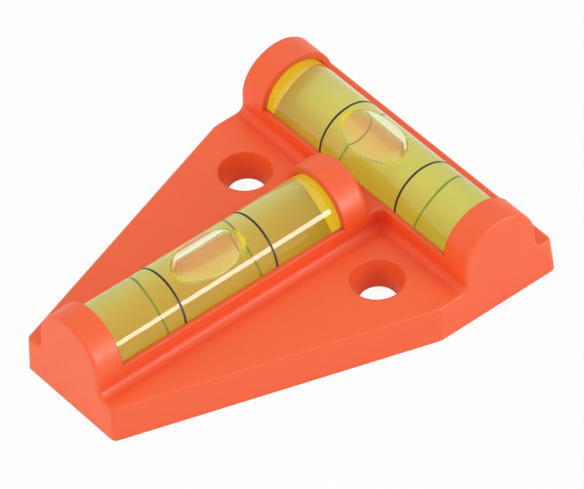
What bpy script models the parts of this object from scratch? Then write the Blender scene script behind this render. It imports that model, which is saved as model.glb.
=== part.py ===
"""A moulded two-way level with a T of two bubble vials on a wedge-shaped screw-on plate.

Metres, +Z up. The narrow end of the plate looks along -Y, the wide back edge along +Y, and the
origin is under the middle of the part, on the surface that it is screwed to.
"""

import math

import bmesh
import bpy
from mathutils import Matrix, Vector

# The plate, seen from above: a straight-sided wedge that ends in a parallel part
PLATE_LENGTH = 0.0700
NOSE_HALF_WIDTH = 0.00995
WING_HALF_WIDTH = 0.02585
WING_DEPTH = 0.0222
NOSE_CORNER_RADIUS = 0.0009
BEND_RADIUS = 0.0030
BACK_CORNER_RADIUS = 0.0011
PLATE_THICKNESS = 0.00625

# How far the sides lean inwards, for each unit of height, so that the part leaves its mould
SIDE_DRAFT_SHARE = 0.032
BACK_DRAFT_SHARE = 0.096

# The rounding that runs all round the top edge of the sides
RIM_ROUNDING = 0.0005

# The two housings: walls that rise from a hollow corner and close in a half-round arch
HOUSING_HALF_WIDTH = 0.00665
SPRING_ABOVE_PLATE = 0.00305
FOOT_RADIUS = 0.0012
FOOT_LEDGE = 0.0001
CROSS_SETBACK = 0.0103
HOUSING_GAP = 0.00185
FAR_END_ROUNDING = 0.0014
INNER_CORNER_RADIUS = 0.0010

# The windows over the vials, between the closed end blocks
LAND_ABOVE_SPRING = 0.0001
NOSE_BLOCK_LENGTH = 0.0050
FAR_BLOCK_LENGTH = 0.0051
CROSS_BLOCK_LENGTH = 0.00535

# The vials, and the channels that they are pushed into from below
VIAL_RADIUS = 0.0057
VIAL_BELOW_SPRING = 0.0004
VIAL_SIDE_GAP = 0.00015
VIAL_END_GAP = 0.00025
NOSE_END_WALL = 0.0023
FAR_END_WALL = 0.0020
CROSS_END_WALL = 0.0024

# The ridges that hold a vial from below
BEAD_RADIUS = 0.00065
BEAD_SINK = 0.0001
BEAD_LENGTH = 0.0034

# The hollow underside
SKIN = 0.0024
SIDE_WALL = 0.0018
CHANNEL_WALL = 0.0016
NOSE_SOLID = 0.0060
POCKET_CORNER_RADIUS = 0.0009
POCKET_CORNER_SHARE = 0.45
RIB_THICKNESS = 0.0012
RIB_RECESS = 0.0008
FIRST_RIB_FROM_NOSE = 0.0180
RIB_SPACING = 0.0110
RIB_COUNT = 2
WEB_RECESS = 0.0026

# The screw holes, which narrow downwards to seat a screw's head
HOLE_FROM_SIDE = 0.01085
HOLE_FROM_BACK = 0.0249
HOLE_TOP_RADIUS = 0.0041
HOLE_BOTTOM_RADIUS = 0.0029
HOLE_FLOOR = 0.00185
BOSS_WALL = 0.0014

# The inside of a vial
BORE_RADIUS = 0.0046
BORE_CROWN = 0.00015
CLOSED_END_WALL = 0.0016
PLUG_RADIUS = 0.00465
PLUG_THICKNESS = 0.0019
PLUG_GAP = 0.00015
VIAL_EDGE = 0.0003
LIQUID_GAP = 0.0001
RING_HALF_SPACING = 0.0085
RING_WIDTH = 0.0004
RING_THICKNESS = 0.00015
RING_GAP = 0.0001
BUBBLE_HALF_LENGTH = 0.0063
BUBBLE_HALF_WIDTH = 0.0033
BUBBLE_UNDER = 0.00135
BUBBLE_OVER = 0.0022
LONG_BUBBLE_SHIFT = 0.0003
CROSS_BUBBLE_SHIFT = -0.0027
BUBBLE_GAP = 0.0002
POCKET_GAP = 0.0003

# How far a cut runs past what it cuts, and how far a joined hollow corner sinks in
OVERRUN = 0.0020
SINK = 0.00002
SLIVER = 0.000002

# How finely the curves are divided
ARCH_STEPS = 48
CHANNEL_STEPS = 20
FOOT_STEPS = 6
CORNER_STEPS = 5
ROUNDING_STEPS = 4
HOLE_STEPS = 48
VIAL_STEPS = 48
BORE_STEPS = 4
BEAD_STEPS = 12
DROP_STEPS = 28

# Places that follow from the sizes above
FRONT_Y = -PLATE_LENGTH / 2
BACK_Y = PLATE_LENGTH / 2
BEND_Y = BACK_Y - WING_DEPTH
SPRING_Z = PLATE_THICKNESS + SPRING_ABOVE_PLATE
TOP_Z = SPRING_Z + HOUSING_HALF_WIDTH
LAND_Z = SPRING_Z + LAND_ABOVE_SPRING
CROSS_Y = BACK_Y - CROSS_SETBACK
CROSS_FRONT_Y = CROSS_Y - HOUSING_HALF_WIDTH
FAR_END_Y = CROSS_FRONT_Y - HOUSING_GAP
CHANNEL_RADIUS = VIAL_RADIUS + VIAL_SIDE_GAP
VIAL_Z = SPRING_Z - VIAL_BELOW_SPRING
LONG_SEATS = (FRONT_Y + NOSE_END_WALL, FAR_END_Y - FAR_END_WALL)
LONG_WINDOW = (FRONT_Y + NOSE_BLOCK_LENGTH, FAR_END_Y - FAR_BLOCK_LENGTH)
CROSS_SEATS = (CROSS_END_WALL - WING_HALF_WIDTH, WING_HALF_WIDTH - CROSS_END_WALL)
CROSS_WINDOW = (CROSS_BLOCK_LENGTH - WING_HALF_WIDTH, WING_HALF_WIDTH - CROSS_BLOCK_LENGTH)
POCKET_Z = PLATE_THICKNESS - SKIN
HOLE_X = WING_HALF_WIDTH - HOLE_FROM_SIDE
HOLE_Y = BACK_Y - HOLE_FROM_BACK
BOSS_RADIUS = HOLE_TOP_RADIUS + BOSS_WALL

# The hollow corner keeps off the rounded rim, where the plate is narrowest beside a housing
NOSE_SHELF = NOSE_HALF_WIDTH - SIDE_DRAFT_SHARE * PLATE_THICKNESS - HOUSING_HALF_WIDTH
BACK_SHELF = CROSS_SETBACK - BACK_DRAFT_SHARE * PLATE_THICKNESS - HOUSING_HALF_WIDTH
FOOT = min(FOOT_RADIUS, min(NOSE_SHELF, BACK_SHELF) - RIM_ROUNDING - FOOT_LEDGE)

# Which way a flat outline's own axes point when it is run along X, Y or Z
RUN_ALONG = {
    "X": Matrix(((0, 0, 1, 0), (1, 0, 0, 0), (0, 1, 0, 0), (0, 0, 0, 1))),
    "Y": Matrix(((1, 0, 0, 0), (0, 0, -1, 0), (0, 1, 0, 0), (0, 0, 0, 1))),
    "Z": Matrix.Identity(4),
}


def clear_scene():
    for obj in list(bpy.data.objects):
        bpy.data.objects.remove(obj, do_unlink=True)


def new_collection(name):
    collection = bpy.data.collections.new(name)
    bpy.context.scene.collection.children.link(collection)
    return collection


def new_material(name, colour, roughness, alpha=1.0, transmission=0.0, ior=1.5):
    material = bpy.data.materials.new(name)
    material.use_nodes = True
    shader = material.node_tree.nodes["Principled BSDF"]
    shader.inputs["Base Color"].default_value = (*colour, 1.0)
    shader.inputs["Roughness"].default_value = roughness
    shader.inputs["Metallic"].default_value = 0.0
    shader.inputs["Alpha"].default_value = alpha
    shader.inputs["Transmission Weight"].default_value = transmission
    shader.inputs["IOR"].default_value = ior
    return material


# Tools for outlines and solids


def rounded_outline(corners, radii, steps):
    """Points round a polygon, with an arc of the given radius at each corner."""
    points = []
    for index, radius in enumerate(radii):
        corner = Vector(corners[index])
        back = (Vector(corners[index - 1]) - corner).normalized()
        ahead = (Vector(corners[(index + 1) % len(corners)]) - corner).normalized()
        half = back.angle(ahead) / 2
        centre = corner + (back + ahead).normalized() * radius / math.sin(half)
        spoke = corner + back * radius / math.tan(half) - centre
        turn = math.copysign(math.pi - 2 * half, ahead.cross(back))
        for step in range(steps + 1):
            arm = Matrix.Rotation(turn * step / steps, 2) @ spoke
            points.append(tuple(centre + arm))
    return points


def inset_corners(corners, insets):
    """Corners of a polygon, listed anticlockwise, whose sides have each moved inwards."""
    lines = []
    for index, inset in enumerate(insets):
        start = Vector(corners[index])
        along = (Vector(corners[(index + 1) % len(corners)]) - start).normalized()
        lines.append((start + Vector((-along.y, along.x)) * inset, along))
    moved = []
    for index, (start, along) in enumerate(lines):
        before, run = lines[index - 1]
        reach = (start - before).cross(along) / run.cross(along)
        moved.append(tuple(before + run * reach))
    return moved


def arc(centre, radius, first, last, steps):
    """Points on an arc about centre, from one angle to another, in degrees."""
    points = []
    for step in range(steps + 1):
        angle = math.radians(first + (last - first) * step / steps)
        points.append((centre[0] + radius * math.cos(angle), centre[1] + radius * math.sin(angle)))
    return points


def welded(mesh):
    """The mesh as one closed skin whose faces look outwards."""
    shape = bmesh.new()
    shape.from_mesh(mesh)
    bmesh.ops.remove_doubles(shape, verts=shape.verts, dist=RING_GAP / 100)
    bmesh.ops.dissolve_limit(
        shape, angle_limit=math.radians(0.1), verts=shape.verts, edges=shape.edges
    )
    bmesh.ops.recalc_face_normals(shape, faces=shape.faces)
    shape.to_mesh(mesh)
    shape.free()
    return mesh


def add_object(name, mesh, collection, material=None):
    obj = bpy.data.objects.new(name, mesh)
    collection.objects.link(obj)
    if material:
        mesh.materials.clear()
        mesh.materials.append(material)
    return obj


def as_helper(obj):
    obj.hide_render = True
    obj.display_type = "WIRE"
    return obj


def mesh_of(obj):
    """A new mesh of the object as its modifiers leave it."""
    bpy.context.view_layer.update()
    graph = bpy.context.evaluated_depsgraph_get()
    return bpy.data.meshes.new_from_object(obj.evaluated_get(graph))


def prism(name, outline, low, high, axis, collection):
    """A flat outline run along an axis, from low to high."""
    curve = bpy.data.curves.new(name, "CURVE")
    curve.dimensions = "2D"
    curve.fill_mode = "BOTH"
    curve.extrude = (high - low) / 2
    spline = curve.splines.new("POLY")
    spline.points.add(len(outline) - 1)
    for point, (across, up) in zip(spline.points, outline):
        point.co = (across, up, 0, 1)
    spline.use_cyclic_u = True
    guide = bpy.data.objects.new(name + "_guide", curve)
    collection.objects.link(guide)
    middle = Vector((0, 0, 0))
    middle["XYZ".index(axis)] = (low + high) / 2
    guide.matrix_world = Matrix.Translation(middle) @ RUN_ALONG[axis]
    mesh = mesh_of(guide)
    mesh.transform(guide.matrix_world)
    bpy.data.objects.remove(guide)
    return as_helper(add_object(name, welded(mesh), collection))


def box(name, low, high, helpers):
    """A block between two opposite corners."""
    outline = [(low[0], low[1]), (high[0], low[1]), (high[0], high[1]), (low[0], high[1])]
    return prism(name, outline, low[2], high[2], "Z", helpers)


def turned(name, profile, steps, closed=False):
    """A mesh turned round the X axis from points of distance along it and radius."""
    mesh = bpy.data.meshes.new(name)
    points = [(radius, 0, along) for along, radius in profile]
    edges = [(index, index + 1) for index in range(len(points) - 1)]
    if closed:
        edges.append((len(points) - 1, 0))
    mesh.from_pydata(points, edges, [])
    guide = bpy.data.objects.new(name + "_guide", mesh)
    bpy.context.scene.collection.objects.link(guide)
    screw = guide.modifiers.new("turn", "SCREW")
    screw.axis = "Z"
    screw.steps = steps
    screw.render_steps = steps
    screw.use_merge_vertices = True
    screw.merge_threshold = RING_GAP / 100
    result = mesh_of(guide)
    bpy.data.objects.remove(guide)
    result.transform(Matrix.Rotation(math.radians(90), 4, "Y"))
    return welded(result)


def smooth(mesh, degrees):
    mesh.shade_smooth()
    mesh.set_sharp_from_angle(angle=math.radians(degrees))


def combine(target, other, operation):
    """Joins the other solid to the target, cuts it away, or keeps what they share."""
    modifier = target.modifiers.new(other.name, "BOOLEAN")
    modifier.operation = operation
    modifier.solver = "EXACT"
    modifier.material_mode = "TRANSFER"
    modifier.object = other
    return modifier


def bake(obj):
    """Gives the object the mesh that its modifiers make, without slivers from the cuts."""
    mesh = mesh_of(obj)
    obj.modifiers.clear()
    shape = bmesh.new()
    shape.from_mesh(mesh)
    bmesh.ops.remove_doubles(shape, verts=shape.verts, dist=SLIVER)
    bmesh.ops.dissolve_degenerate(shape, edges=shape.edges, dist=SLIVER)
    shape.to_mesh(mesh)
    shape.free()
    obj.data = mesh
    return obj


# The outer form of the moulding


def plan_corners():
    """The plate's outline on the surface that it stands on, anticlockwise from the nose."""
    return [
        (NOSE_HALF_WIDTH, FRONT_Y),
        (WING_HALF_WIDTH, BEND_Y),
        (WING_HALF_WIDTH, BACK_Y),
        (-WING_HALF_WIDTH, BACK_Y),
        (-WING_HALF_WIDTH, BEND_Y),
        (-NOSE_HALF_WIDTH, FRONT_Y),
    ]


def plan_outline(height):
    """The rounded outline at a height, drawn in by the draft of the sides."""
    side = SIDE_DRAFT_SHARE * height
    back = BACK_DRAFT_SHARE * height
    corners = inset_corners(plan_corners(), (side, side, back, side, side, side))
    radii = (
        NOSE_CORNER_RADIUS,
        BEND_RADIUS,
        BACK_CORNER_RADIUS,
        BACK_CORNER_RADIUS,
        BEND_RADIUS,
        NOSE_CORNER_RADIUS,
    )
    return rounded_outline(corners, radii, CORNER_STEPS)


def drafted_block(name, helpers):
    """The outline drawn up past the housings, from which the sides get their lean."""
    height = TOP_Z + OVERRUN
    shape = bmesh.new()
    floor = shape.faces.new([shape.verts.new((x, y, 0)) for x, y in plan_outline(0)])
    lifted = bmesh.ops.extrude_face_region(shape, geom=[floor])["geom"]
    raised = [item for item in lifted if isinstance(item, bmesh.types.BMVert)]
    for vert, (x, y) in zip(raised, plan_outline(height)):
        vert.co = (x, y, height)
    bmesh.ops.recalc_face_normals(shape, faces=shape.faces)
    mesh = bpy.data.meshes.new(name)
    shape.to_mesh(mesh)
    shape.free()
    return as_helper(add_object(name, mesh, helpers))


def foot_and_wall(top):
    """One side of a housing's profile: up from inside the plate, the hollow corner, the wall."""
    edge = HOUSING_HALF_WIDTH + FOOT
    points = [(edge, PLATE_THICKNESS / 2)]
    points += arc((edge, PLATE_THICKNESS + FOOT), FOOT, 270, 180, FOOT_STEPS)
    points.append((HOUSING_HALF_WIDTH, top))
    return points


def mirrored(points):
    return [(-across, up) for across, up in reversed(points)]


def arched_profile(middle):
    """The section of a housing's end block, with its middle line at a given place."""
    side = foot_and_wall(SPRING_Z)
    crown = arc((0, SPRING_Z), HOUSING_HALF_WIDTH, 0, 180, ARCH_STEPS)[1:-1]
    return [(middle + across, up) for across, up in side + crown + mirrored(side)]


def long_housing(helpers):
    """The long housing, whose arch stops short of the cross housing and whose walls run into it."""
    block = prism("long_housing", arched_profile(0), FRONT_Y - OVERRUN, CROSS_Y, "Y", helpers)
    reach = HOUSING_HALF_WIDTH + OVERRUN
    low = (-reach, FAR_END_Y, LAND_Z)
    high = (reach, CROSS_Y + OVERRUN, TOP_Z + OVERRUN)
    combine(block, box("behind_far_block", low, high, helpers), "DIFFERENCE")
    bake(block)
    shape = bmesh.new()
    shape.from_mesh(block.data)
    edges = []
    for edge in shape.edges:
        ends = [vert.co for vert in edge.verts]
        on_face = all(abs(end.y - FAR_END_Y) < SINK for end in ends)
        if on_face and max(end.z for end in ends) > LAND_Z + SINK:
            edges.append(edge)
    bmesh.ops.bevel(
        shape,
        geom=edges,
        offset=FAR_END_ROUNDING,
        offset_type="OFFSET",
        segments=ROUNDING_STEPS,
        profile=0.5,
        affect="EDGES",
        clamp_overlap=True,
    )
    shape.to_mesh(block.data)
    shape.free()
    return block


def inner_corner(name, side, helpers):
    """The hollow upright corner where the long housing's wall runs into the cross housing."""
    step_out = INNER_CORNER_RADIUS - SINK
    hub = (side * (HOUSING_HALF_WIDTH + step_out), CROSS_FRONT_Y - step_out)
    inside = (side * (HOUSING_HALF_WIDTH - step_out), CROSS_FRONT_Y + step_out)
    turn = (180, 90) if side > 0 else (0, 90)
    outline = arc(hub, INNER_CORNER_RADIUS, turn[0], turn[1], FOOT_STEPS)
    outline.append((hub[0], inside[1]))
    outline.append(inside)
    outline.append((inside[0], hub[1]))
    return prism(name, outline, PLATE_THICKNESS / 2, LAND_Z - SINK, "Z", helpers)


def round_rim(obj):
    """Rounds the edge between the drafted sides and everything on top of them."""
    shape = bmesh.new()
    shape.from_mesh(obj.data)
    bmesh.ops.dissolve_limit(
        shape,
        angle_limit=math.radians(0.1),
        verts=shape.verts,
        edges=shape.edges,
        delimit={"MATERIAL"},
    )
    rim = [
        edge
        for edge in shape.edges
        if len({face.material_index for face in edge.link_faces}) == 2
    ]
    bmesh.ops.bevel(
        shape,
        geom=rim,
        offset=RIM_ROUNDING,
        offset_type="OFFSET",
        segments=ROUNDING_STEPS,
        profile=0.5,
        affect="EDGES",
        clamp_overlap=True,
        loop_slide=True,
    )
    shape.to_mesh(obj.data)
    shape.free()


def outer_form(name, parts, helpers, top_material, side_material):
    """The plate and both housings as one solid with drafted sides and a rounded rim."""
    low = (-WING_HALF_WIDTH - OVERRUN, FRONT_Y - OVERRUN, -OVERRUN)
    high = (WING_HALF_WIDTH + OVERRUN, BACK_Y + OVERRUN, PLATE_THICKNESS)
    slab = box("plate_slab", low, high, helpers)
    reach = WING_HALF_WIDTH + OVERRUN
    cross = prism("cross_housing", arched_profile(CROSS_Y), -reach, reach, "X", helpers)
    body = add_object(name, slab.data.copy(), parts, top_material)
    joined = [long_housing(helpers), cross]
    joined += [inner_corner("inner_corner_left", -1, helpers)]
    joined += [inner_corner("inner_corner_right", 1, helpers)]
    for block in joined:
        block.data.materials.append(top_material)
        combine(body, block, "UNION")
    sides = drafted_block("drafted_sides", helpers)
    sides.data.materials.append(side_material)
    combine(body, sides, "INTERSECT")
    bake(body)
    round_rim(body)
    return body


# What is cut out of the moulding and added under it


def channel_profile(middle):
    """The section of a channel: straight walls, open below, under a half-round top."""
    points = [(middle + CHANNEL_RADIUS, -OVERRUN)]
    points += arc((middle, VIAL_Z), CHANNEL_RADIUS, 0, 180, CHANNEL_STEPS)
    points.append((middle - CHANNEL_RADIUS, -OVERRUN))
    return points


def window_profile(middle):
    """The section of a window: everything above the narrow lands on the walls."""
    half = HOUSING_HALF_WIDTH + OVERRUN
    top = TOP_Z + OVERRUN
    return [
        (middle - half, LAND_Z),
        (middle + half, LAND_Z),
        (middle + half, top),
        (middle - half, top),
    ]


def wing_pocket(name, side, helpers):
    """The hollow under one wing, between the side wall and the walls of both channels."""
    inner = CHANNEL_RADIUS + CHANNEL_WALL
    walls = (SIDE_WALL, SIDE_WALL, SIDE_WALL, SIDE_WALL, SIDE_WALL, NOSE_SOLID)
    shell = inset_corners(plan_corners(), walls)
    nose, bend = shell[0], shell[1]
    rear = CROSS_Y - CHANNEL_RADIUS - CHANNEL_WALL
    corners = [(inner, nose[1]), nose, bend, (bend[0], rear), (inner, rear)]
    # The pocket is narrowest at its nose end, and two rounded corners share that width.
    radius = min(POCKET_CORNER_RADIUS, (nose[0] - inner) * POCKET_CORNER_SHARE)
    outline = rounded_outline(corners, [radius] * len(corners), CORNER_STEPS)
    outline = [(side * x, y) for x, y in outline]
    return prism(name, outline, -OVERRUN, POCKET_Z, "Z", helpers)


def wing_ribs(side, helpers):
    """The ribs across one wing's pocket, and the web that carries the screw boss."""
    rows = [
        (FRONT_Y + FIRST_RIB_FROM_NOSE + RIB_SPACING * index, RIB_RECESS)
        for index in range(RIB_COUNT)
    ]
    rows.append((HOLE_Y, WEB_RECESS))
    slope = (WING_HALF_WIDTH - NOSE_HALF_WIDTH) / (BEND_Y - FRONT_Y)
    ribs = []
    for index, (place, recess) in enumerate(rows):
        half = RIB_THICKNESS / 2
        reach = min(WING_HALF_WIDTH, NOSE_HALF_WIDTH + slope * (place - FRONT_Y)) - SIDE_WALL / 2
        inner = CHANNEL_RADIUS + CHANNEL_WALL / 2
        outline = [
            (side * inner, place - half),
            (side * reach, place - half),
            (side * reach, place + half),
            (side * inner, place + half),
        ]
        name = "rib_%s_%d" % ("right" if side > 0 else "left", index + 1)
        ribs.append(prism(name, outline, recess, POCKET_Z + SKIN / 2, "Z", helpers))
    return ribs


def cone(name, low_radius, high_radius, low, high, place, helpers):
    """An upright round solid between two heights, straight or tapered."""
    shape = bmesh.new()
    bmesh.ops.create_cone(
        shape,
        cap_ends=True,
        segments=HOLE_STEPS,
        radius1=low_radius,
        radius2=high_radius,
        depth=high - low,
        matrix=Matrix.Translation((place[0], place[1], (low + high) / 2)),
    )
    mesh = bpy.data.meshes.new(name)
    shape.to_mesh(mesh)
    shape.free()
    return as_helper(add_object(name, mesh, helpers))


def screw_boss(name, side, helpers):
    place = (side * HOLE_X, HOLE_Y)
    return cone(name, BOSS_RADIUS, BOSS_RADIUS, HOLE_FLOOR, POCKET_Z + SKIN / 2, place, helpers)


def screw_hole(name, side, helpers):
    """The tapered hole, carried on past the plate's top and past the boss's end."""
    slope = (HOLE_TOP_RADIUS - HOLE_BOTTOM_RADIUS) / (PLATE_THICKNESS - HOLE_FLOOR)
    low = HOLE_FLOOR - OVERRUN
    high = PLATE_THICKNESS + OVERRUN
    place = (side * HOLE_X, HOLE_Y)
    narrow = HOLE_BOTTOM_RADIUS - slope * OVERRUN
    wide = HOLE_TOP_RADIUS + slope * OVERRUN
    return cone(name, narrow, wide, low, high, place, helpers)


def beads(label, middle, seats, axis, helpers):
    """The four ridges under a vial, one on each wall of each seat."""
    made = []
    across = CHANNEL_RADIUS + BEAD_SINK
    reach = VIAL_RADIUS + VIAL_SIDE_GAP + BEAD_RADIUS
    below = math.sqrt(reach * reach - across * across)
    for side in (-1, 1):
        hub = (middle + side * across, VIAL_Z - below)
        outline = arc(hub, BEAD_RADIUS, 0, 360, BEAD_STEPS)[:-1]
        for end, (seat, inwards) in enumerate(((seats[0], 1), (seats[1], -1))):
            low, high = sorted((seat - inwards * OVERRUN / 4, seat + inwards * BEAD_LENGTH))
            name = "bead_%s_%d_%d" % (label, side + 2, end + 1)
            made.append(prism(name, outline, low, high, axis, helpers))
    return made


def level_body(parts, helpers, plastic, side_material):
    """The whole moulding."""
    body = outer_form("level_body", parts, helpers, plastic, side_material)
    for side, label in ((-1, "left"), (1, "right")):
        combine(body, wing_pocket("pocket_" + label, side, helpers), "DIFFERENCE")
    for side, label in ((-1, "left"), (1, "right")):
        combine(body, screw_boss("boss_" + label, side, helpers), "UNION")
        for rib in wing_ribs(side, helpers):
            combine(body, rib, "UNION")
    channel = prism("long_channel", channel_profile(0), *LONG_SEATS, "Y", helpers)
    combine(body, channel, "DIFFERENCE")
    channel = prism("cross_channel", channel_profile(CROSS_Y), *CROSS_SEATS, "X", helpers)
    combine(body, channel, "DIFFERENCE")
    window = prism("long_window", window_profile(0), *LONG_WINDOW, "Y", helpers)
    combine(body, window, "DIFFERENCE")
    window = prism("cross_window", window_profile(CROSS_Y), *CROSS_WINDOW, "X", helpers)
    combine(body, window, "DIFFERENCE")
    for side, label in ((-1, "left"), (1, "right")):
        combine(body, screw_hole("hole_" + label, side, helpers), "DIFFERENCE")
    ridges = beads("long", 0, LONG_SEATS, "Y", helpers)
    ridges += beads("cross", CROSS_Y, CROSS_SEATS, "X", helpers)
    for ridge in ridges:
        combine(body, ridge, "UNION")
    bake(body)
    body.data.materials.clear()
    body.data.materials.append(plastic)
    for face in body.data.polygons:
        face.material_index = 0
    smooth(body.data, 25)
    return body


# The pieces of a vial, each made along its own X axis with the bubble on top


def bore_at(along, half):
    """The bore's radius, which swells a little towards the middle of the vial."""
    return BORE_RADIUS - BORE_CROWN * (along / half) ** 2


def bore_ends(half):
    """Where the bore starts at the closed end, and where it stops at the plug."""
    return CLOSED_END_WALL - half, half - PLUG_THICKNESS - 2 * PLUG_GAP


def bore_line(half, inset):
    """Places along the bore with its radius, less a gap, from the closed end to the plug."""
    low, high = bore_ends(half)
    low += inset
    high -= inset
    points = []
    for step in range(BORE_STEPS + 1):
        along = low + (high - low) * step / BORE_STEPS
        points.append((along, bore_at(along, half) - inset))
    return points


def barrel_mesh(half):
    """A clear tube with one closed end, a seat for the plug and two grooves for the rings."""
    groove_half = RING_WIDTH / 2 + RING_GAP
    groove_radius = VIAL_RADIUS - RING_THICKNESS - RING_GAP
    profile = [(-half, 0), (-half, VIAL_RADIUS - VIAL_EDGE), (VIAL_EDGE - half, VIAL_RADIUS)]
    for middle in (-RING_HALF_SPACING, RING_HALF_SPACING):
        profile.append((middle - groove_half, VIAL_RADIUS))
        profile.append((middle - groove_half, groove_radius))
        profile.append((middle + groove_half, groove_radius))
        profile.append((middle + groove_half, VIAL_RADIUS))
    seat_radius = PLUG_RADIUS + PLUG_GAP
    seat = bore_ends(half)[1]
    profile.append((half - VIAL_EDGE, VIAL_RADIUS))
    profile.append((half, VIAL_RADIUS - VIAL_EDGE))
    profile.append((half, seat_radius))
    profile.append((seat, seat_radius))
    profile += reversed(bore_line(half, 0))
    profile.append((bore_ends(half)[0], 0))
    return turned("barrel", profile, VIAL_STEPS)


def plug_mesh(half):
    low = half - PLUG_THICKNESS - PLUG_GAP
    high = half - PLUG_GAP
    profile = [
        (low, 0),
        (low, PLUG_RADIUS - VIAL_EDGE),
        (low + VIAL_EDGE, PLUG_RADIUS),
        (high - VIAL_EDGE, PLUG_RADIUS),
        (high, PLUG_RADIUS - VIAL_EDGE),
        (high, 0),
    ]
    return turned("plug", profile, VIAL_STEPS)


def ring_mesh():
    """One printed line round the barrel."""
    half = RING_WIDTH / 2
    inner = VIAL_RADIUS - RING_THICKNESS
    profile = [(-half, inner), (-half, VIAL_RADIUS), (half, VIAL_RADIUS), (half, inner)]
    return turned("ring", profile, VIAL_STEPS, closed=True)


def bubble_centre(half):
    """The height of the bubble's widest level over the vial's axis."""
    return bore_at(bore_ends(half)[1], half) - BUBBLE_GAP - BUBBLE_UNDER


def drop_shape(name, length, width, under, over, place, helpers):
    """An egg-like solid that is longer than wide, with unlike depths under and over its edge."""
    shape = bmesh.new()
    turn = Matrix.Rotation(math.radians(90), 4, "Y")
    bmesh.ops.create_uvsphere(
        shape, u_segments=DROP_STEPS, v_segments=DROP_STEPS // 2, radius=1, matrix=turn
    )
    for vert in shape.verts:
        depth = over if vert.co.z > 0 else under
        vert.co = (place[0] + vert.co.x * length, vert.co.y * width, place[1] + vert.co.z * depth)
    mesh = bpy.data.meshes.new(name)
    shape.to_mesh(mesh)
    shape.free()
    return as_helper(add_object(name, mesh, helpers))


def bubble_mesh(label, half, shift, helpers):
    """The air bubble: round below and at its ends, and lying along the top of the bore."""
    height = bubble_centre(half)
    drop = drop_shape(
        label + "_bubble_drop",
        BUBBLE_HALF_LENGTH,
        BUBBLE_HALF_WIDTH,
        BUBBLE_UNDER,
        BUBBLE_OVER,
        (shift, height),
        helpers,
    )
    low = shift - BUBBLE_HALF_LENGTH - OVERRUN
    high = shift + BUBBLE_HALF_LENGTH + OVERRUN
    radius = height + BUBBLE_UNDER
    profile = [(low, 0), (low, radius), (high, radius), (high, 0)]
    roof = add_object(label + "_bubble_roof", turned("roof", profile, VIAL_STEPS), helpers)
    as_helper(roof)
    combine(drop, roof, "INTERSECT")
    return mesh_of(drop)


def liquid_mesh(label, half, shift, helpers):
    """The liquid that fills the bore, hollowed on top where the bubble lies at rest."""
    line = bore_line(half, LIQUID_GAP)
    profile = [(line[0][0], 0), *line, (line[-1][0], 0)]
    fill = add_object(label + "_fill", turned("fill", profile, VIAL_STEPS), helpers)
    as_helper(fill)
    hollow = drop_shape(
        label + "_bubble_hollow",
        BUBBLE_HALF_LENGTH + POCKET_GAP,
        BUBBLE_HALF_WIDTH + POCKET_GAP,
        BUBBLE_UNDER + POCKET_GAP,
        BORE_RADIUS,
        (shift, bubble_centre(half)),
        helpers,
    )
    combine(fill, hollow, "DIFFERENCE")
    return mesh_of(fill)


def vial(label, place, turn, seats, shift, parts, helpers, looks):
    """One vial: barrel, plug, liquid, bubble and two rings, on an empty at its middle."""
    half = (seats[1] - seats[0]) / 2 - VIAL_END_GAP
    frame = bpy.data.objects.new(label + "_vial_frame", None)
    parts.objects.link(frame)
    frame.location = place
    frame.rotation_euler = (0, 0, turn)
    pieces = [
        ("vial_barrel", barrel_mesh(half), "acrylic", 0),
        ("vial_plug", plug_mesh(half), "plug", 0),
        ("vial_liquid", liquid_mesh(label, half, shift, helpers), "liquid", 0),
        ("bubble", bubble_mesh(label, half, shift, helpers), "air", 0),
        ("ring_minus", ring_mesh(), "ink", -RING_HALF_SPACING),
        ("ring_plus", ring_mesh(), "ink", RING_HALF_SPACING),
    ]
    for name, mesh, look, along in pieces:
        piece = add_object(label + "_" + name, mesh, parts, looks[look])
        piece.parent = frame
        piece.location = (along, 0, 0)
        smooth(mesh, 35)


def build():
    clear_scene()
    parts = new_collection("t_level")
    helpers = new_collection("cutters")
    helpers.hide_render = True
    plastic = new_material("orange_plastic", (0.83, 0.11, 0.045), 0.28)
    side_material = new_material("drafted_side", (0.83, 0.11, 0.045), 0.28)
    looks = {
        "acrylic": new_material("clear_acrylic", (0.95, 0.97, 0.93), 0.03, 0.35, 1.0, 1.49),
        "plug": new_material("vial_plug", (0.80, 0.82, 0.76), 0.30),
        "liquid": new_material("green_liquid", (0.62, 0.66, 0.05), 0.02, 0.6, 1.0, 1.38),
        "air": new_material("air_bubble", (0.97, 0.98, 0.96), 0.02, 0.25, 1.0, 1.0),
        "ink": new_material("black_ink", (0.012, 0.012, 0.012), 0.45),
    }
    level_body(parts, helpers, plastic, side_material)
    long_middle = (LONG_SEATS[0] + LONG_SEATS[1]) / 2
    vial(
        "long",
        (0, long_middle, VIAL_Z),
        math.radians(90),
        LONG_SEATS,
        LONG_BUBBLE_SHIFT,
        parts,
        helpers,
        looks,
    )
    vial(
        "cross",
        (0, CROSS_Y, VIAL_Z),
        0,
        CROSS_SEATS,
        CROSS_BUBBLE_SHIFT,
        parts,
        helpers,
        looks,
    )
    bpy.data.materials.remove(side_material)


build()
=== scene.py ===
"""The T level as it looks on a white table: orange moulded body and two yellow-green vials."""
import math

import bmesh
import bpy
from mathutils import Matrix, Vector


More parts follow.
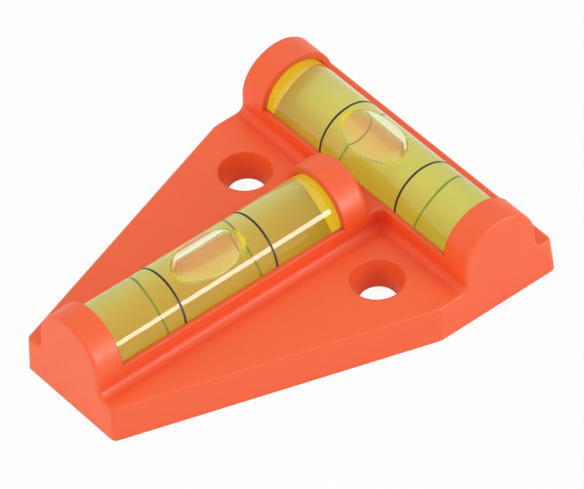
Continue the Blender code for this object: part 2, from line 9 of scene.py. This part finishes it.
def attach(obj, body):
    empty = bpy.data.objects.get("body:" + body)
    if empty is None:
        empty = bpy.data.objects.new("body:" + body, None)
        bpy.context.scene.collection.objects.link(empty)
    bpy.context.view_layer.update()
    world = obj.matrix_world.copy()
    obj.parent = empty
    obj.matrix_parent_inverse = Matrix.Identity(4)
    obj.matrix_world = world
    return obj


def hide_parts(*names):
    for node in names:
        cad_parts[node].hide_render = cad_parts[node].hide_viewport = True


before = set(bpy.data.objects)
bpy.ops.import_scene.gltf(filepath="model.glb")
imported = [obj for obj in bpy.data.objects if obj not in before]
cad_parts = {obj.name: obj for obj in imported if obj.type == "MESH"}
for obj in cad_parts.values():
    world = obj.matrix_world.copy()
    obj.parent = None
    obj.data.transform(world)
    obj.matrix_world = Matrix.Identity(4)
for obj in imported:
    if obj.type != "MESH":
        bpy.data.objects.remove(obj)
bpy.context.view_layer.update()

MM = 0.001
SCENE = bpy.context.scene

# Sizes of the vials, as the moulding holds them. Along each vial, low is its closed end, high its plug.
VIAL_Z = 8.9 * MM
VIAL_RADIUS = 5.7 * MM
VIAL_HALF = 23.2 * MM
BORE_RADIUS = 4.6 * MM
BORE_CROWN = 0.15 * MM
BORE_LOW = -21.6 * MM
BORE_HIGH = 21.0 * MM
PLUG_SEAT_RADIUS = 4.8 * MM
SEAT_FLOOR = 21.1 * MM
BORE_CORNER = 0.8 * MM
EDGE = 0.3 * MM
RING_AT = 8.5 * MM
RING_WIDTH = 0.37 * MM
INK_THICKNESS = 0.02 * MM
SCUFF_FULL = VIAL_Z - 2.5 * MM
SCUFF_NONE = VIAL_Z - 0.5 * MM

# The bubble: half its length and width, how far it reaches under and over its widest line, and its top
BUBBLE_LENGTH = 6.3 * MM
BUBBLE_WIDTH = 3.3 * MM
BUBBLE_UNDER = 1.35 * MM
BUBBLE_OVER = 2.2 * MM
BUBBLE_ROOF = 4.25 * MM

# Where the vials lie, and how far each bubble rests off its vial's middle
LONG_SHIFT = 0.3 * MM
CROSS_SHIFT = -2.7 * MM
LONG_MIDDLE = Vector((0, -9.25 * MM, VIAL_Z))
CROSS_MIDDLE = Vector((0, 24.7 * MM, VIAL_Z))
ALONG_LONG = Matrix.Translation(LONG_MIDDLE) @ Matrix.Rotation(math.radians(90), 4, "Z")
ALONG_CROSS = Matrix.Translation(CROSS_MIDDLE)

# How finely the turned pieces are made, from which angle an edge is sharp, and how much of its
# normal an end face has along the vial
TURN_STEPS = 160
BORE_STEPS = 24
CORNER_STEPS = 6
EDGE_STEPS = 4
SHARP_ANGLE = math.radians(35)
FACING_ALONG = 0.9

# Softboxes: direction from the level, width and height in metres, and power in watts
LAMP_DISTANCE = 0.6
REFLECTED_STRIP = ((0.82, 0.47, 0.31), (0.44, 0.13), 2.2)
RIGHT_SOFTBOX = ((0.82, 0.45, 0.37), (0.26, 0.20), 0.95)
FRONT_SOFTBOX = ((-0.20, -1.0, 0.35), (0.30, 0.30), 0.85)

# The table, and how much of its colour is plain white: where it is seen, and through the vials
TABLE_HALF = 1.5
TABLE_GAP = 0.02 * MM
WHITE_SEEN = 0.95
WHITE_THROUGH = 0.30

# The camera, as fitted to the photograph. The aim's offsets are pixels from the picture's middle.
PICTURE_WIDTH = 584
SENSOR_WIDTH = 36
AZIMUTH = math.radians(52.740)
ELEVATION = math.radians(45.011)
ROLL = math.radians(-3.323)
FOCAL_PIXELS = 6780.977
CAMERA_DISTANCE = 0.983735
AIM = Vector((0, 0, 5 * MM))
AIM_RIGHT = -34.253
AIM_DOWN = 19.269


# Colours and nodes


def paint(code):
    """The linear colour of an sRGB hex code."""
    parts = [int(code[i:i + 2], 16) / 255 for i in (1, 3, 5)]
    linear = [c / 12.92 if c <= 0.04045 else ((c + 0.055) / 1.055) ** 2.4 for c in parts]
    return (*linear, 1.0)


def add_node(tree, kind, settings=None, links=None):
    """Adds a node, sets its properties and sockets, and links its inputs to other outputs."""
    node = tree.nodes.new(kind)
    for name, value in (settings or {}).items():
        if isinstance(name, str) and hasattr(node, name):
            setattr(node, name, value)
        else:
            node.inputs[name].default_value = value
    for name, source in (links or {}).items():
        tree.links.new(source, node.inputs[name])
    return node


def new_material(name):
    """An empty node material and its tree."""
    material = bpy.data.materials.new(name)
    material.use_nodes = True
    material.node_tree.nodes.clear()
    return material, material.node_tree


def finish_material(tree, surface, volume=None):
    """Links the surface, and the volume if there is one, to the material's output."""
    links = {"Surface": surface}
    if volume is not None:
        links["Volume"] = volume
    add_node(tree, "ShaderNodeOutputMaterial", links=links)


def per_metre(size):
    """How often a pattern of this size, in metres, repeats in a metre."""
    return 1 / size


# Materials


def moulded_abs():
    """Injection-moulded ABS: bright orange-red, soft gloss, a faint skin, rougher in hollow corners and
    painted darker there as shade.
    """
    material, tree = new_material("moulded_orange_abs")
    place = add_node(tree, "ShaderNodeTexCoord").outputs["Object"]
    # Pigment flow: soft clouds about 9 mm across, barely lighter and darker.
    flow = add_node(tree, "ShaderNodeTexNoise",
                    {"Scale": per_metre(9 * MM), "Detail": 3.0, "Roughness": 0.55}, {"Vector": place})
    colour = add_node(tree, "ShaderNodeMix",
                      {"data_type": "RGBA", 6: paint("#F75E26"), 7: paint("#FA632C")},
                      {"Factor": flow.outputs["Fac"]})
    # Hollow corners, within 4 mm: the skin is rougher there, and its colour is darkened there as painted
    # shade.
    hollow = add_node(tree, "ShaderNodeAmbientOcclusion",
                      {"samples": 8, "only_local": True, "Distance": 4 * MM})
    shade_and_matt_openness = add_node(tree, "ShaderNodeMapRange",
                        {"interpolation_type": "SMOOTHSTEP", "From Min": 0.45, "From Max": 0.95,
                         "To Min": 0.0, "To Max": 1.0}, {"Value": hollow.outputs["AO"]})
    # Painted shade: a deeper red is mixed in where the corners close in.
    painted_corner_shade = add_node(tree, "ShaderNodeMix",
                    {"data_type": "RGBA", 6: paint("#E8421C")},
                    {"Factor": shade_and_matt_openness.outputs["Result"], 7: colour.outputs[2]})
    # The mould's skin: a fine ripple of 0.35 mm, drawn coarser than the real polish so that it shows.
    skin = add_node(tree, "ShaderNodeTexNoise",
                    {"Scale": per_metre(0.35 * MM), "Detail": 2.0}, {"Vector": place})
    ripple = add_node(tree, "ShaderNodeTexNoise",
                      {"Scale": per_metre(2.5 * MM), "Detail": 2.0}, {"Vector": place})
    gloss = add_node(tree, "ShaderNodeMapRange",
                     {"From Min": 0.3, "From Max": 0.7, "To Min": 0.40, "To Max": 0.48},
                     {"Value": ripple.outputs["Fac"]})
    dull = add_node(tree, "ShaderNodeMapRange",
                    {"From Min": 0.0, "From Max": 1.0, "To Min": 0.25, "To Max": 0.0},
                    {"Value": shade_and_matt_openness.outputs["Result"]})
    matt = add_node(tree, "ShaderNodeMath", {"operation": "ADD"},
                    {0: gloss.outputs["Result"], 1: dull.outputs["Result"]})
    edge = add_node(tree, "ShaderNodeBevel", {"samples": 8, "Radius": 0.4 * MM})
    fine = add_node(tree, "ShaderNodeBump", {"Strength": 0.12, "Distance": 0.02 * MM},
                    {"Height": skin.outputs["Fac"], "Normal": edge.outputs["Normal"]})
    wide = add_node(tree, "ShaderNodeBump", {"Strength": 0.25, "Distance": 0.02 * MM},
                    {"Height": ripple.outputs["Fac"], "Normal": fine.outputs["Normal"]})
    shader = add_node(tree, "ShaderNodeBsdfPrincipled",
                      {"IOR": 1.53, "Subsurface Weight": 0.08, "Subsurface Scale": 0.6 * MM,
                       "Subsurface Radius": (1.0, 0.25, 0.1)},
                      {"Base Color": painted_corner_shade.outputs[2], "Roughness": matt.outputs[0],
                       "Normal": wide.outputs["Normal"]})
    finish_material(tree, shader.outputs["BSDF"])
    return material


def extruded_acrylic():
    """Extruded acrylic tube: water-clear and glossy on top, scuffed matt on its lower half."""
    material, tree = new_material("extruded_clear_acrylic")
    place = add_node(tree, "ShaderNodeTexCoord").outputs["Object"]
    haze = add_node(tree, "ShaderNodeTexNoise",
                    {"Scale": per_metre(3 * MM), "Detail": 3.0}, {"Vector": place})
    polish = add_node(tree, "ShaderNodeMapRange",
                      {"From Min": 0.35, "From Max": 0.75, "To Min": 0.0, "To Max": 0.03},
                      {"Value": haze.outputs["Fac"]})
    # The lower half rubs along its channel when the vial is pushed in, so what lies below is blurred.
    height = add_node(tree, "ShaderNodeSeparateXYZ", links={"Vector": place}).outputs["Z"]
    scuff = add_node(tree, "ShaderNodeMapRange",
                     {"interpolation_type": "SMOOTHSTEP", "From Min": SCUFF_FULL, "From Max": SCUFF_NONE,
                      "To Min": 0.45, "To Max": 0.0}, {"Value": height})
    matt = add_node(tree, "ShaderNodeMath", {"operation": "ADD"},
                    {0: polish.outputs["Result"], 1: scuff.outputs["Result"]})
    shader = add_node(tree, "ShaderNodeBsdfPrincipled",
                      {"Base Color": paint("#FBFCF6"), "IOR": 1.49, "Transmission Weight": 1.0},
                      {"Roughness": matt.outputs[0]})
    finish_material(tree, shader.outputs["BSDF"])
    return material


def sawn_acrylic():
    """The barrel's ends: sawn and matt. Their yellow and their glow are painted light, an emission standing
    in for the light they gather from the dyed liquid.
    """
    material, tree = new_material("sawn_acrylic_end")
    place = add_node(tree, "ShaderNodeTexCoord").outputs["Object"]
    # Saw marks every 0.4 mm or so.
    marks = add_node(tree, "ShaderNodeTexNoise",
                     {"Scale": per_metre(0.4 * MM), "Detail": 2.0}, {"Vector": place})
    matt = add_node(tree, "ShaderNodeMapRange",
                    {"From Min": 0.3, "From Max": 0.7, "To Min": 0.5, "To Max": 0.7},
                    {"Value": marks.outputs["Fac"]})
    # Painted light: the ends' yellow colour and their emission stand in for the light they gather from the
    # liquid.
    colour = add_node(tree, "ShaderNodeMix",
                      {"data_type": "RGBA", 6: paint("#F7B23C"), 7: paint("#FBC048")},
                      {"Factor": marks.outputs["Fac"]})
    shader = add_node(tree, "ShaderNodeBsdfPrincipled",
                      {"IOR": 1.49, "Emission Color": paint("#FFC22E"), "Emission Strength": 0.35},
                      {"Base Color": colour.outputs[2], "Roughness": matt.outputs["Result"]})
    finish_material(tree, shader.outputs["BSDF"])
    return material


def dyed_spirit():
    """Mineral spirit with a fluorescent yellow-green dye: clear, with its glow painted on as a fixed
    emission in the liquid.
    """
    material, tree = new_material("dyed_vial_spirit")
    place = add_node(tree, "ShaderNodeTexCoord").outputs["Object"]
    # The dye settles unevenly over about 12 mm.
    drift = add_node(tree, "ShaderNodeTexNoise",
                     {"Scale": per_metre(12 * MM), "Detail": 2.0}, {"Vector": place})
    colour = add_node(tree, "ShaderNodeMix",
                      {"data_type": "RGBA", 6: paint("#FFFFF4"), 7: paint("#FDFDEE")},
                      {"Factor": drift.outputs["Fac"]})
    shader = add_node(tree, "ShaderNodeBsdfGlass", {"Roughness": 0.0, "IOR": 1.40 / 1.49},
                      {"Color": colour.outputs[2]})
    depth = add_node(tree, "ShaderNodeVolumeAbsorption", {"Color": paint("#E8EC5A"), "Density": 110.0})
    # Painted light: the liquid glows by a fixed emission, standing in for the dye's fluorescence.
    glow = add_node(tree, "ShaderNodeEmission", {"Color": paint("#F0FF50"), "Strength": 28.5})
    both = add_node(tree, "ShaderNodeAddShader", links={0: depth.outputs["Volume"], 1: glow.outputs[0]})
    finish_material(tree, shader.outputs["BSDF"], both.outputs[0])
    return material


def trapped_air():
    """The air in the bubble. Light meets it from inside the liquid, so its index is 1 / 1.40."""
    material, tree = new_material("trapped_air")
    shader = add_node(tree, "ShaderNodeBsdfGlass",
                      {"Color": paint("#FFFFFF"), "Roughness": 0.0, "IOR": 1 / 1.40})
    # No dyed liquid lies in the bubble, so the green that the liquid adds is taken back there.
    clear = add_node(tree, "ShaderNodeVolumeAbsorption", {"Color": paint("#FFC8E0"), "Density": 300.0})
    # A faint blush stands in for the orange and white that the bubble's skin mirrors many times over.
    blush = add_node(tree, "ShaderNodeEmission", {"Color": paint("#FFB098"), "Strength": 35.0})
    both = add_node(tree, "ShaderNodeAddShader", links={0: clear.outputs["Volume"], 1: blush.outputs[0]})
    finish_material(tree, shader.outputs["BSDF"], both.outputs[0])
    return material


def printing_ink():
    """Pad-printed black ink: thin, matt and slightly uneven in cover."""
    material, tree = new_material("printed_black_ink")
    place = add_node(tree, "ShaderNodeTexCoord").outputs["Object"]
    cover = add_node(tree, "ShaderNodeTexNoise",
                     {"Scale": per_metre(0.5 * MM), "Detail": 2.0}, {"Vector": place})
    colour = add_node(tree, "ShaderNodeMix",
                      {"data_type": "RGBA", 6: paint("#14150F"), 7: paint("#23241B")},
                      {"Factor": cover.outputs["Fac"]})
    shader = add_node(tree, "ShaderNodeBsdfPrincipled", {"Roughness": 0.5, "IOR": 1.5},
                      {"Base Color": colour.outputs[2]})
    finish_material(tree, shader.outputs["BSDF"])
    return material


def cemented_plug():
    """Moulded polystyrene plug, pale and slightly milky, cemented into the barrel."""
    material, tree = new_material("moulded_plug_styrene")
    place = add_node(tree, "ShaderNodeTexCoord").outputs["Object"]
    cloud = add_node(tree, "ShaderNodeTexNoise",
                     {"Scale": per_metre(2 * MM), "Detail": 2.0}, {"Vector": place})
    colour = add_node(tree, "ShaderNodeMix",
                      {"data_type": "RGBA", 6: paint("#E4E6DA"), 7: paint("#EFF1E6")},
                      {"Factor": cloud.outputs["Fac"]})
    shader = add_node(tree, "ShaderNodeBsdfPrincipled", {"Roughness": 0.3, "IOR": 1.59},
                      {"Base Color": colour.outputs[2]})
    finish_material(tree, shader.outputs["BSDF"])
    return material


# Pieces


def add_piece(name, mesh, where, material, body, slot, *nodes):
    """Puts a mesh in the scene in its place, with its finish, body and the nodes it stands for."""
    mesh.transform(where)
    piece = bpy.data.objects.new(name, mesh)
    SCENE.collection.objects.link(piece)
    mesh.materials.append(material)
    mesh.shade_smooth()
    mesh.set_sharp_from_angle(angle=SHARP_ANGLE)
    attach(piece, body)
    if nodes:
        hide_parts(*nodes)
    return piece


def turned(name, profile, closed=False):
    """A mesh turned round the X axis from points of distance along it and radius."""
    shape = bmesh.new()
    verts = [shape.verts.new((along, 0, radius)) for along, radius in profile]
    edges = [shape.edges.new(pair) for pair in zip(verts, verts[1:])]
    if closed:
        edges.append(shape.edges.new((verts[-1], verts[0])))
    bmesh.ops.spin(shape, geom=verts + edges, axis=(1, 0, 0), cent=(0, 0, 0),
                   angle=2 * math.pi, steps=TURN_STEPS, use_merge=True)
    bmesh.ops.remove_doubles(shape, verts=shape.verts, dist=0.0005 * MM)
    bmesh.ops.recalc_face_normals(shape, faces=shape.faces)
    mesh = bpy.data.meshes.new(name)
    shape.to_mesh(mesh)
    shape.free()
    return mesh


def bore_at(along):
    """The bore's radius, which swells a little towards the middle so that the bubble finds it."""
    return BORE_RADIUS - BORE_CROWN * (along / VIAL_HALF) ** 2


def quarter_turn(steps):
    """The angles of a rounded corner, from 0 to 90 degrees."""
    return [math.radians(90 * step / steps) for step in range(steps + 1)]


def bore_line():
    """The bore's wall from the rounded closed end to the plug."""
    line = [(BORE_LOW, 0)]
    for turn in quarter_turn(CORNER_STEPS):
        along = BORE_LOW + BORE_CORNER * (1 - math.cos(turn))
        line.append((along, bore_at(along) - BORE_CORNER * (1 - math.sin(turn))))
    for step in range(1, BORE_STEPS + 1):
        along = BORE_LOW + BORE_CORNER + (BORE_HIGH - BORE_LOW - BORE_CORNER) * step / BORE_STEPS
        line.append((along, bore_at(along)))
    return line


def barrel_mesh(name):
    """The clear tube: polished outside, rounded edges, closed at one end and open for the plug."""
    edge = []
    for turn in quarter_turn(EDGE_STEPS):
        edge.append((EDGE * (1 - math.cos(turn)), EDGE * (1 - math.sin(turn))))
    profile = [(-VIAL_HALF, 0)]
    profile += [(-VIAL_HALF + along, VIAL_RADIUS - inwards) for along, inwards in edge]
    profile += [(VIAL_HALF - along, VIAL_RADIUS - inwards) for along, inwards in reversed(edge)]
    profile.append((VIAL_HALF, PLUG_SEAT_RADIUS))
    profile.append((SEAT_FLOOR, PLUG_SEAT_RADIUS))
    profile.append((SEAT_FLOOR, 0))
    return turned(name, profile)


def liquid_mesh(name):
    """The liquid, which fills the bore."""
    line = bore_line()
    return turned(name, line + [(line[-1][0], 0)])


def ring_mesh(name, middle):
    """One printed line round the barrel, as thick as a coat of ink."""
    half = RING_WIDTH / 2
    low = VIAL_RADIUS - INK_THICKNESS / 2
    high = VIAL_RADIUS + INK_THICKNESS
    profile = [(middle - half, low), (middle - half, high), (middle + half, high), (middle + half, low)]
    return turned(name, profile, closed=True)


def bubble_mesh(name, shift):
    """The bubble: a drop shape pressed along the top of the bore, with full rounded ends."""
    height = BUBBLE_ROOF - BUBBLE_UNDER
    shape = bmesh.new()
    turn = Matrix.Rotation(math.radians(90), 4, "Y")
    bmesh.ops.create_uvsphere(shape, u_segments=96, v_segments=64, radius=1, matrix=turn)
    for vert in shape.verts:
        x, y, z = vert.co
        depth = BUBBLE_OVER if z > 0 else BUBBLE_UNDER
        place = Vector((x * BUBBLE_LENGTH, y * BUBBLE_WIDTH, height + z * depth))
        reach = math.hypot(place.y, place.z)
        if reach > BUBBLE_ROOF:
            place.y *= BUBBLE_ROOF / reach
            place.z *= BUBBLE_ROOF / reach
        vert.co = place + Vector((shift, 0, 0))
    mesh = bpy.data.meshes.new(name)
    shape.to_mesh(mesh)
    shape.free()
    return mesh


def dress_vial(label, where, shift, body, bubble_body, looks):
    """Makes the fine pieces of one vial and hides the plain solids that they stand for."""
    tube = barrel_mesh(label + "_barrel")
    ends = [face.index for face in tube.polygons if abs(face.normal.x) > FACING_ALONG]
    add_piece(label + "_barrel", tube, where, looks["acrylic"], body,
              "clear_acrylic", label + "_vial_barrel")
    tube.materials.append(looks["sawn end"])
    for index in ends:
        tube.polygons[index].material_index = 1
    add_piece(label + "_liquid", liquid_mesh(label + "_liquid"), where, looks["liquid"], body,
              "green_liquid", label + "_vial_liquid")
    add_piece(label + "_air", bubble_mesh(label + "_air", shift), where, looks["air"], bubble_body,
              "air_bubble", label + "_bubble")
    for side, middle in (("minus", -RING_AT), ("plus", RING_AT)):
        name = label + "_line_" + side
        add_piece(name, ring_mesh(name, middle), where, looks["ink"], body,
                  "black_ink", label + "_ring_" + side)


def refinish(node, material):
    """Gives a CAD solid that stays in view its finish."""
    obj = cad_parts[node]
    for index in range(len(obj.material_slots)):
        obj.material_slots[index].link = "OBJECT"
        obj.material_slots[index].material = material


# The table, the light and the camera


def white_table():
    """A white sheet: diffuse paper, brightened towards white where it is seen itself."""
    material, tree = new_material("white_paper_table")
    place = add_node(tree, "ShaderNodeTexCoord").outputs["Object"]
    grain = add_node(tree, "ShaderNodeTexNoise",
                     {"Scale": per_metre(1.5 * MM), "Detail": 3.0}, {"Vector": place})
    colour = add_node(tree, "ShaderNodeMix",
                      {"data_type": "RGBA", 6: paint("#F2F2F2"), 7: paint("#F6F6F6")},
                      {"Factor": grain.outputs["Fac"]})
    paper = add_node(tree, "ShaderNodeBsdfDiffuse", links={"Color": colour.outputs[2]})
    path = add_node(tree, "ShaderNodeLightPath")
    mirrored = add_node(tree, "ShaderNodeMath", {"operation": "SUBTRACT", "use_clamp": True},
                        {0: path.outputs["Is Glossy Ray"], 1: path.outputs["Is Transmission Ray"]})
    seen = add_node(tree, "ShaderNodeMath", {"operation": "MAXIMUM"},
                    {0: path.outputs["Is Camera Ray"], 1: mirrored.outputs[0]})
    # Through the vials the sheet is seen in the shade under the moulding, so it is less white there.
    shaded = add_node(tree, "ShaderNodeMath", {"operation": "MULTIPLY", 1: WHITE_THROUGH},
                      {0: path.outputs["Is Transmission Ray"]})
    seen = add_node(tree, "ShaderNodeMath", {"operation": "MAXIMUM"},
                    {0: seen.outputs[0], 1: shaded.outputs[0]})
    glow = add_node(tree, "ShaderNodeEmission", {"Color": paint("#FFFFFF"), "Strength": 1.0})
    share = add_node(tree, "ShaderNodeMath", {"operation": "MULTIPLY", 1: WHITE_SEEN}, {0: seen.outputs[0]})
    both = add_node(tree, "ShaderNodeMixShader",
                    links={0: share.outputs[0], 1: paper.outputs[0], 2: glow.outputs[0]})
    finish_material(tree, both.outputs[0])
    return material


def build_table():
    """A wide white sheet under the level, just below its feet."""
    mesh = bpy.data.meshes.new("table")
    shape = bmesh.new()
    bmesh.ops.create_grid(shape, x_segments=1, y_segments=1, size=TABLE_HALF)
    shape.to_mesh(mesh)
    shape.free()
    mesh.materials.append(white_table())
    table = bpy.data.objects.new("table", mesh)
    SCENE.collection.objects.link(table)
    table.location = (0, 0, -TABLE_GAP)


def build_sky():
    """Soft white light from all round, and plain white wherever the surroundings are seen."""
    world = bpy.data.worlds.new("studio")
    SCENE.world = world
    world.use_nodes = True
    tree = world.node_tree
    tree.nodes.clear()
    path = add_node(tree, "ShaderNodeLightPath")
    seen = add_node(tree, "ShaderNodeMath", {"operation": "MAXIMUM"},
                    {0: path.outputs["Is Camera Ray"], 1: path.outputs["Is Glossy Ray"]})
    seen = add_node(tree, "ShaderNodeMath", {"operation": "MAXIMUM"},
                    {0: seen.outputs[0], 1: path.outputs["Is Transmission Ray"]})
    # The studio is brightest overhead and fades softly towards the walls.
    place = add_node(tree, "ShaderNodeTexCoord").outputs["Generated"]
    height = add_node(tree, "ShaderNodeSeparateXYZ", links={"Vector": place}).outputs["Z"]
    level = add_node(tree, "ShaderNodeMapRange",
                     {"interpolation_type": "SMOOTHSTEP", "From Min": -0.1, "From Max": 1.0,
                      "To Min": 0.45, "To Max": 0.90}, {"Value": height})
    soft = add_node(tree, "ShaderNodeBackground", {"Color": paint("#FFFFFF")},
                    {"Strength": level.outputs["Result"]})
    plain = add_node(tree, "ShaderNodeBackground", {"Color": paint("#FFFFFF"), "Strength": 1.0})
    both = add_node(tree, "ShaderNodeMixShader",
                    links={0: seen.outputs[0], 1: soft.outputs[0], 2: plain.outputs[0]})
    add_node(tree, "ShaderNodeOutputWorld", links={"Surface": both.outputs[0]})


def add_softbox(name, towards, size, watts):
    """A rectangular softbox in a direction from the level, facing it."""
    lamp = bpy.data.lights.new(name, "AREA")
    lamp.shape = "RECTANGLE"
    lamp.size, lamp.size_y = size
    lamp.energy = watts
    obj = bpy.data.objects.new(name, lamp)
    SCENE.collection.objects.link(obj)
    direction = Vector(towards).normalized()
    obj.location = direction * LAMP_DISTANCE
    obj.rotation_euler = direction.to_track_quat("Z", "Y").to_euler()
    return obj


def light_the_level():
    """Two soft lamps, and a strip only for reflections: the line on the vial, the shoulders' gloss."""
    strip = add_softbox("right_strip", *REFLECTED_STRIP)
    strip.visible_diffuse = False
    strip.visible_transmission = False
    right = add_softbox("right_soft", *RIGHT_SOFTBOX)
    right.visible_glossy = False
    front = add_softbox("front_soft", *FRONT_SOFTBOX)
    front.visible_glossy = False


def build_camera():
    """The photograph's view: from the narrow end's right, 45 degrees above the table."""
    back = Vector((math.sin(AZIMUTH) * math.cos(ELEVATION),
                   -math.cos(AZIMUTH) * math.cos(ELEVATION), math.sin(ELEVATION)))
    level = Vector((math.cos(AZIMUTH), math.sin(AZIMUTH), 0))
    rise = back.cross(level)
    right = level * math.cos(ROLL) + rise * math.sin(ROLL)
    up = rise * math.cos(ROLL) - level * math.sin(ROLL)
    offset = (right * AIM_RIGHT - up * AIM_DOWN) * CAMERA_DISTANCE / FOCAL_PIXELS
    eye = AIM + back * CAMERA_DISTANCE - offset
    camera = bpy.data.cameras.new("camera")
    camera.sensor_width = SENSOR_WIDTH
    camera.lens = FOCAL_PIXELS / PICTURE_WIDTH * SENSOR_WIDTH
    camera.clip_start = 0.01
    camera.clip_end = 10
    obj = bpy.data.objects.new("camera", camera)
    SCENE.collection.objects.link(obj)
    turn = Matrix((right, up, back)).transposed()
    obj.matrix_world = Matrix.Translation(eye) @ turn.to_4x4()
    SCENE.camera = obj


def main():
    looks = {
        "acrylic": extruded_acrylic(),
        "sawn end": sawn_acrylic(),
        "liquid": dyed_spirit(),
        "air": trapped_air(),
        "ink": printing_ink(),
    }
    refinish("level_body", moulded_abs())
    plug = cemented_plug()
    refinish("long_vial_plug", plug)
    refinish("cross_vial_plug", plug)
    dress_vial("long", ALONG_LONG, LONG_SHIFT, "level", "long_bubble_body", looks)
    dress_vial("cross", ALONG_CROSS, CROSS_SHIFT, "level", "cross_bubble_body", looks)
    build_table()
    build_sky()
    light_the_level()
    SCENE.view_settings.view_transform = "Standard"
    build_camera()


main()
